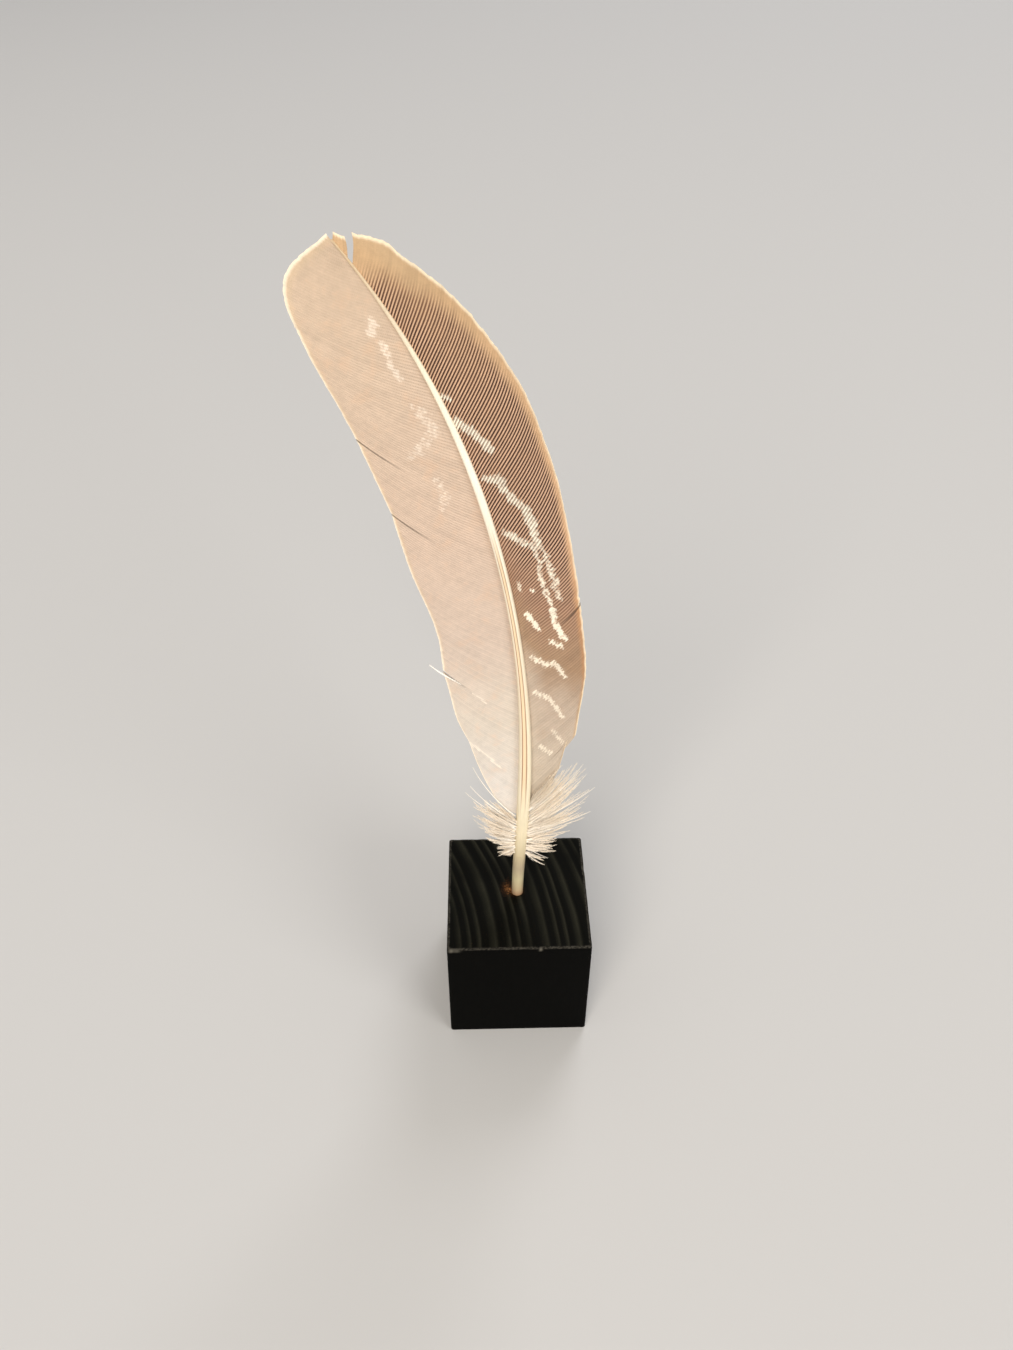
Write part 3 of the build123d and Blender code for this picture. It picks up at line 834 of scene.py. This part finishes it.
def downMaterial(look):
    material, add, here = newMaterial("down")
    outward, own = storedParts(add, "downPlace")[:2]
    color = add("Mix", {**mixed, "Factor": outward, "A": look["near"], "B": look["far"]})
    warmShare = add("Math", {"operation": "MULTIPLY", 0: own, 1: 0.5})
    warm = add("Mix", {**mixed, "Factor": warmShare, "A": color, "B": look["warm"]})
    patch = add("TexNoise", {"Scale": perMetre(1.2), "Detail": 2.0, "Vector": here})
    tone = add("MapRange", {"Value": patch, "To Min": 0.93, "To Max": 1.1})
    shade = add("Mix", {**multiplied, "A": warm, "B": tone})
    return surfaced(material, {"Base Color": shade, "Roughness": 0.8, "Specular IOR Level": 0.3,
                               "Sheen Weight": 0.3, "Sheen Roughness": 0.5, "Sheen Tint": "#FFEBCF"})


# the block: one grid of rings, circle at the hole and rounded square outside

low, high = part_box("wood_block")
blockShape = {
    "half": (high.x - low.x) / 2 / mm, "height": high.z / mm, "holeRadius": 1.25, "holeDepth": 14.0,
    "rim": 0.18, "edge": 0.4, "corner": 0.5, "around": 480, "worn": (0.05, 0.03),
    "ringMiddle": (-75.0, -18.0), "ringStep": 2.55, "ringDepth": 0.035, "ringPeak": (0.8, 0.14),
    # the torn patch: depth and reach in mm, and its direction and spread in radians
    "tornDepth": 0.22, "tornReach": 0.9, "tornTurn": (2.9, 0.75),
    # the patch of bare wood, x and y with their spreads, and the bare ring round the hole
    "bareX": (-2.1, 1.5), "bareY": (0.8, 2.4), "bareRing": 0.5,
    # x, y, width and depth of each nick in the top edge
    "nicks": [(-14.2, -15.0, 0.5, 0.2), (-13.0, -15.0, 0.7, 0.12), (4.4, -15.0, 0.3, 0.25),
              (15.0, 6.0, 0.8, 0.15)],
}


def squareRing(half, corner, angle):
    # a rounded square's reach at each angle: the nearest of the flat sides and the corner arcs
    folded = (angle + np.pi / 4) % (np.pi / 2) - np.pi / 4
    flat = half / np.cos(folded)
    centre = half - corner
    # where the ray meets the corner's arc, from the quadratic for a circle
    along = centre * (np.cos(np.abs(folded)) + np.sin(np.abs(folded)))
    inside = np.maximum(along**2 - (2 * centre**2 - corner**2), 0)
    arc = along + np.sqrt(inside)
    onArc = np.tan(np.abs(folded)) * half > centre
    return np.where(onArc, arc, flat)


def makeBlock(shape, material):
    half, top, edge = shape["half"], shape["height"], shape["edge"]
    hole, bottom = shape["holeRadius"], top - shape["holeDepth"]
    rim = hole + shape["rim"]
    generator = np.random.default_rng(7)
    # angles evenly spaced along the square's outline, so that corners are not starved
    quarter = np.arctan(np.linspace(-1, 1, shape["around"] // 4, endpoint=False))
    angle = np.concatenate([quarter + k * np.pi / 2 for k in range(4)])
    # a ring is a share from circle to square, the square's inset, the circle's radius, and a height:
    # the hole's floor, wall and rim, the top, its edge, the sides, the bottom's edge and the bottom
    rings = [(0.0, 0.0, hole * r, bottom) for r in (0.05, 0.5, 1.0)]
    rings += [(0.0, 0.0, hole, z) for z in np.linspace(bottom, top - 0.2, 14)[1:]]
    rings += [(0.0, 0.0, hole + 0.06, top - 0.05), (0.0, 0.0, rim, top)]
    rings += [(share ** 1.15, edge, rim, top) for share in np.linspace(0, 1, 58)[1:]]
    rings += [(1.0, edge * (1 - math.sin(a)), hole, top - edge * (1 - math.cos(a)))
              for a in np.linspace(0, np.pi / 2, 7)[1:]]
    rings += [(1.0, 0.0, hole, z) for z in np.linspace(top - edge, edge, 46)[1:]]
    rings += [(1.0, edge * (1 - math.cos(a)), hole, edge * (1 - math.sin(a)))
              for a in np.linspace(0, np.pi / 2, 6)[1:]]
    rings += [(share, edge, 0.05, 0.0) for share in np.linspace(1, 0.01, 12)[1:]]
    share, inset, circle, z = (column[:, None] for column in np.array(rings).T)
    square = squareRing(half - inset, shape["corner"], angle[None, :])
    reach = circle * (1 - share) + square * share
    x, y = reach * np.cos(angle), reach * np.sin(angle)
    z = np.broadcast_to(z, x.shape).copy()
    # growth rings stand proud of the softer wood between them on the end grain
    middle = shape["ringMiddle"]
    fromPith = np.hypot(x - middle[0], y - middle[1])
    wobble = 0.25 * np.sin(0.21 * y + 1.0) + 0.05 * np.sin(0.9 * y + 0.13 * x)
    phase = (fromPith + wobble) / shape["ringStep"] % 1.0
    proud = bell(phase, *shape["ringPeak"])
    onTop = (z > top - 0.01) & (share < 1.0) & (reach > hole + 0.1)
    z = z - np.where(onTop, shape["ringDepth"] * (1 - proud), 0.0)
    # hand-sanded edges: the top edge is worn unevenly, with a few small nicks at the front
    onEdge = (share >= 1.0) & (z > top - edge - 0.01)
    slow, quick = shape["worn"]
    worn = slow * np.sin(x * 0.7 + 1.3) * np.sin(y * 0.9) + quick * np.sin(x * 2.3 + y * 1.9)
    bite = np.zeros_like(x)
    for nickX, nickY, wide, deep in shape["nicks"]:
        bite = bite + deep * bell(np.hypot(x - nickX, y - nickY), 0, wide)
    sink = np.where(onEdge, np.abs(worn) + bite, 0.0)
    x = x - np.cos(angle) * sink * 0.5
    y = y - np.sin(angle) * sink * 0.5
    z = z - sink * 0.7
    # torn fibres at the left of the hole's rim
    turn = np.arctan2(y, x)
    leftward = bell(np.abs(turn), *shape["tornTurn"])
    nearHole = bell(reach, hole, shape["tornReach"]) * (z > top - 0.3)
    ragged = 0.5 + 0.5 * np.sin(turn * 17 + 3 * np.sin(turn * 5))
    z = z - shape["tornDepth"] * leftward * nearHole * ragged * (reach > hole + 0.05)
    points = np.stack([x, y, z], axis=-1)
    # the profile runs from the hole outwards, so its faces are turned to point out
    faces = [f[::-1] for f in tubeFaces(1, len(rings), shape["around"])]
    piece = newPiece("stained_block", points, faces, material, "block")
    # for the material: bare wood from just behind the hole round to its left, about 2 by 4 mm
    bare = bell(x, *shape["bareX"]) * bell(y, *shape["bareY"])
    bare = bare + 0.5 * bell(reach, hole, shape["bareRing"])
    # and: the nicked and rubbed edge, and where the end grain shows
    rubbed = smoothStep(z, top - 0.8 * edge, top - 0.2 * edge) * generator.uniform(0, 0.45, x.shape)
    look = np.zeros(points.shape)
    look[..., 0] = np.clip(bare, 0, 1) * (z > top - 0.6)
    look[..., 1] = np.where(onEdge, np.clip(np.maximum(bite * 3.5, rubbed), 0, 1), 0)
    look[..., 2] = (z > top - 0.3) & (share < 1)
    storeVectors(piece, "blockLook", look)
    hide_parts("wood_block")


# softwood, sanded and stained black: satin, near black, with paler rings on the end grain; the sides get a
# darker colour than the top, painted shade
blockLook = {"stain": "#090906", "ring": "#29281F", "side": "#030302", "bare": "#34200F", "torn": "#8A5C34",
             "nick": "#6A655A"}


def blockMaterial(look, shape):
    material, add, here = newMaterial("blackStainedWood")
    bareness, nickedness, endGrain = storedParts(add, "blockLook")
    # rings about a pith far off to the left; a slow noise keeps them from being perfect circles
    warp = add("TexNoise", {"Scale": perMetre(16), "Detail": 1.0, "Vector": here})
    warped = add("VectorMath", {"operation": "MULTIPLY_ADD", 0: warp.outputs["Color"],
                                1: (1.1 * mm, 0.5 * mm, 0.0), 2: here})
    flat = add("VectorMath", {"operation": "MULTIPLY", 0: warped, 1: (1.0, 1.0, 0.0)})
    pith = (shape["ringMiddle"][0] * mm, shape["ringMiddle"][1] * mm, 0.0)
    away = add("VectorMath", {"operation": "DISTANCE", 0: flat, 1: pith})
    turns = add("Math", {"operation": "DIVIDE", 0: away, 1: shape["ringStep"] * mm})
    # some years grew more than others: the count runs ahead and falls back over about four rings
    season = add("Math", {"operation": "MULTIPLY", 0: turns, 1: 1.7})
    swing = add("Math", {"operation": "SINE", 0: season})
    uneven = add("Math", {"operation": "MULTIPLY_ADD", 0: swing, 1: 0.22, 2: turns})
    phase = add("Math", {"operation": "FRACT", 0: uneven})
    levels = [(0.0, 0.0), (0.38, 0.05), (0.64, 0.6), (0.78, 1.0), (0.92, 0.15), (1.0, 0.0)]
    ring = add("ValToRGB", {"stops": levels, "Fac": phase})
    # open pores on the end grain, 0.12 mm, drawn 0.3 mm so that they show; long fibres down the sides
    pores = add("TexNoise", {"Scale": perMetre(0.3), "Detail": 3.0, "Roughness": 0.7, "Vector": here})
    lengthwise = add("Mapping", {"Scale": (1.0, 1.0, 0.03), "Vector": here})
    fibres = add("TexNoise", {"Scale": perMetre(0.35), "Detail": 3.0, "Roughness": 0.6, "Vector": lengthwise})
    # the rings are faint in places
    faint = add("TexNoise", {"Scale": perMetre(13), "Detail": 2.0, "Vector": here})
    strength = add("MapRange", {"Value": faint, "From Min": 0.35, "From Max": 0.6, "To Min": 0.25})
    ringShare = add("Math", {"operation": "MULTIPLY", 0: ring, 1: strength})
    ringed = add("Mix", {**mixed, "Factor": ringShare, "A": look["stain"], "B": look["ring"]})
    grit = add("MapRange", {"Value": pores, "To Min": 0.55, "To Max": 1.5})
    topTone = add("Mix", {**multiplied, "A": ringed, "B": grit})
    grain = add("MapRange", {"Value": fibres, "To Min": 0.4, "To Max": 1.6})
    # the sides: near black with long fibres, painted darker than the top as shade
    shadedSideTone = add("Mix", {**multiplied, "A": look["side"], "B": grain})
    wood = add("Mix", {**mixed, "Factor": endGrain, "A": shadedSideTone, "B": topTone})
    # the stain is torn off beside the hole and rubbed off at the nicks
    patchy = add("Math", {"operation": "MULTIPLY_ADD", 0: pores, 1: 2.4, 2: -1.35})
    bareEdge = add("Math", {"operation": "ADD", 0: bareness, 1: patchy})
    bareShare = add("MapRange", {"Value": bareEdge, "From Min": 0.15, "From Max": 0.75})
    tornShare = add("MapRange", {"Value": bareEdge, "From Min": 0.75, "From Max": 1.1})
    bareWood = add("Mix", {**mixed, "Factor": tornShare, "A": look["bare"], "B": look["torn"]})
    bared = add("Mix", {**mixed, "Factor": bareShare, "A": wood, "B": bareWood})
    nicked = add("Mix", {**mixed, "Factor": nickedness, "A": bared, "B": look["nick"]})
    gloss = add("MapRange", {"Value": pores, "To Min": 0.5, "To Max": 0.7})
    relief = add("Mix", {**mixed, "Factor": endGrain, "A": fibres, "B": pores})
    bump = add("Bump", {"Strength": 0.35, "Distance": 0.05 * mm, "Height": relief})
    return surfaced(material, {"Base Color": nicked, "Normal": bump, "Roughness": gloss,
                               "Specular IOR Level": 0.035})


# the quill and what is in it keep their CAD shapes

# hollow horn, thin enough to let light through: grey-amber, satin, with faint lengthwise streaks
quillLook = ((16, "#D6CBA9"), (27, "#C6B68F"), (29.7, "#A8805E"), (31.5, "#C2AA85"), (35, "#C9BD96"),
             (38.5, "#B3A286"), (42, "#C6B692"))
# dried skin across the hollow: papery and pale
capLook = {"light": "#E9DDBB", "dark": "#BBA77A", "grainMm": 0.4, "depthMm": 0.03, "roughness": 0.7}
# pith is a dry foam of tiny cells: chalky, matt, off-white
pithLook = {"light": "#EDE5D2", "dark": "#CFC2A4", "grainMm": 0.15, "depthMm": 0.05, "roughness": 0.9}


def quillMaterial(colors):
    material, add, here = newMaterial("quillHorn")
    height = add("SeparateXYZ", {0: here}).outputs["Z"]
    horn = colorsByHeight(add, height, colors)
    drawn = add("Mapping", {"Scale": (1.0, 1.0, 0.06), "Vector": here})
    streak = add("TexNoise", {"Scale": perMetre(0.3), "Detail": 4.0, "Roughness": 0.6, "Vector": drawn})
    tone = add("MapRange", {"Value": streak, "To Min": 0.78, "To Max": 1.15})
    color = add("Mix", {**multiplied, "A": horn, "B": tone})
    bump = add("Bump", {"Strength": 0.3, "Distance": 0.03 * mm, "Height": streak})
    return surfaced(material, {"Base Color": color, "Normal": bump, "Roughness": 0.32, "IOR": 1.54})


def insideMaterial(name, look):
    # two tones of one stuff, mixed by a noise of its grain
    material, add, here = newMaterial(name)
    noise = add("TexNoise", {"Scale": perMetre(look["grainMm"]), "Detail": 4.0, "Roughness": 0.6,
                             "Vector": here})
    color = add("Mix", {**mixed, "Factor": noise, "A": look["dark"], "B": look["light"]})
    bump = add("Bump", {"Strength": 0.3, "Distance": look["depthMm"] * mm, "Height": noise})
    return surfaced(material, {"Base Color": color, "Normal": bump, "Roughness": look["roughness"]})


def dressNode(name, material):
    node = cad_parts[name]
    node.data.materials.clear()
    node.data.materials.append(material)


strayBarb = {
    # its row as for the webs, its greatest width in mm, its thickness as a share of that, and its mesh
    "rows": [(78.3, -16.4, 93.5)], "width": 0.36, "flatness": 0.6, "stations": 40, "around": 6,
    # where its short hairs stand, their length and their radius at foot and tip, mm
    "hairs": 90, "hairRun": (0.55, 0.99), "hairMm": (0.25, 0.6), "hairRadii": (0.03, 0.008),
}


def makeStrayBarb(barb, material):
    # one tapering strand along the split, with short barbules left along it, its tip curling to -Y
    generator = np.random.default_rng(3)
    stations, around, hairs = barb["stations"], barb["around"], barb["hairs"]
    flat = barbCurves(barb["rows"], "left", np.array([barb["rows"][0][0]]), stations)[0]
    q = np.linspace(0, 1, stations)
    normal = vaneNormal(flat[:, 0], flat[:, 1])
    curl = -0.15 + 0.4 * smoothStep(q, 0.6, 0.85) + 0.4 * smoothStep(q, 0.7, 1.0)
    path = onVane(flat[:, 0], flat[:, 1]) + normal * curl[:, None]
    way = unit(np.gradient(path, axis=0))
    wide = unit(np.cross(normal, way))
    half = barb["width"] / 2 * (0.3 + 0.7 * smoothStep(q, 0.62, 0.9)) * (1 - 0.7 * smoothStep(q, 0.8, 1.0))
    points = ringsAround(path, wide, normal * barb["flatness"], half[:, None], around).reshape(-1, 3)
    faces = tubeFaces(1, stations, around)
    low = (np.linspace(*barb["hairRun"], hairs) * (stations - 1)).astype(int)
    base, ahead, out = path[low], way[low], wide[low] * np.where(np.arange(hairs) % 2 == 0, 1, -1)[:, None]
    size = generator.uniform(*barb["hairMm"], (hairs, 1))
    tip = base + (ahead * 0.8 + out * 0.6 + generator.normal(0, 0.1, (hairs, 3))) * size
    hair = hairRings([base, tip], normal[low], ahead, barb["hairRadii"])
    faces += tubeFaces(hairs, 2, 3, start=len(points))
    whole = np.concatenate([points, hair.reshape(-1, 3)])
    piece = newPiece("stray_barb_strand", whole, faces, material, "feather")
    storeVectors(piece, "downPlace", np.zeros((len(whole), 3)))
    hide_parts("stray_barb")


# making it all

makeCamera(shot)
makeLights(lights, worldLook)

floorMesh = bpy.data.meshes.new("floor")
edge = floorLook["size"] / 2
corners = [(-edge, -edge, 0), (edge, -edge, 0), (edge, edge, 0), (-edge, edge, 0)]
floorMesh.from_pydata(corners, [], [(0, 1, 2, 3)])
floor = bpy.data.objects.new("floor", floorMesh)
bpy.context.scene.collection.objects.link(floor)
paper = surfaced(newMaterial("palePaper")[0], {"Base Color": floorLook["color"], "Roughness": 0.8})
floorMesh.materials.append(paper)
print("camera, lights and floor made")

makeBlock(blockShape, blockMaterial(blockLook, blockShape))
print("block made")

makeShaft(shaftShape, shaftMaterial(shaftLook))
dressNode("quill", quillMaterial(quillLook))
dressNode("pulp_caps", insideMaterial("driedSkin", capLook))
dressNode("shaft_pith", insideMaterial("pithFoam", pithLook))
print("shaft and quill made")

leftVane = vaneMaterial("plainVaneKeratin", leftVaneLook)
rightVane = vaneMaterial("barredVaneKeratin", rightVaneLook)
barbCount = 0
for name, web in leftWebs.items():
    barbCount += makeWeb(name, "left", web, leftVane)
for name, web in rightWebs.items():
    barbCount += makeWeb(name, "right", web, rightVane)
print("vane made,", barbCount, "barbs")

softDown = downMaterial(downLook)
makeStrayBarb(strayBarb, softDown)
for name, fan in downFans.items():
    makeDown(name, fan, softDown)
print("down made")
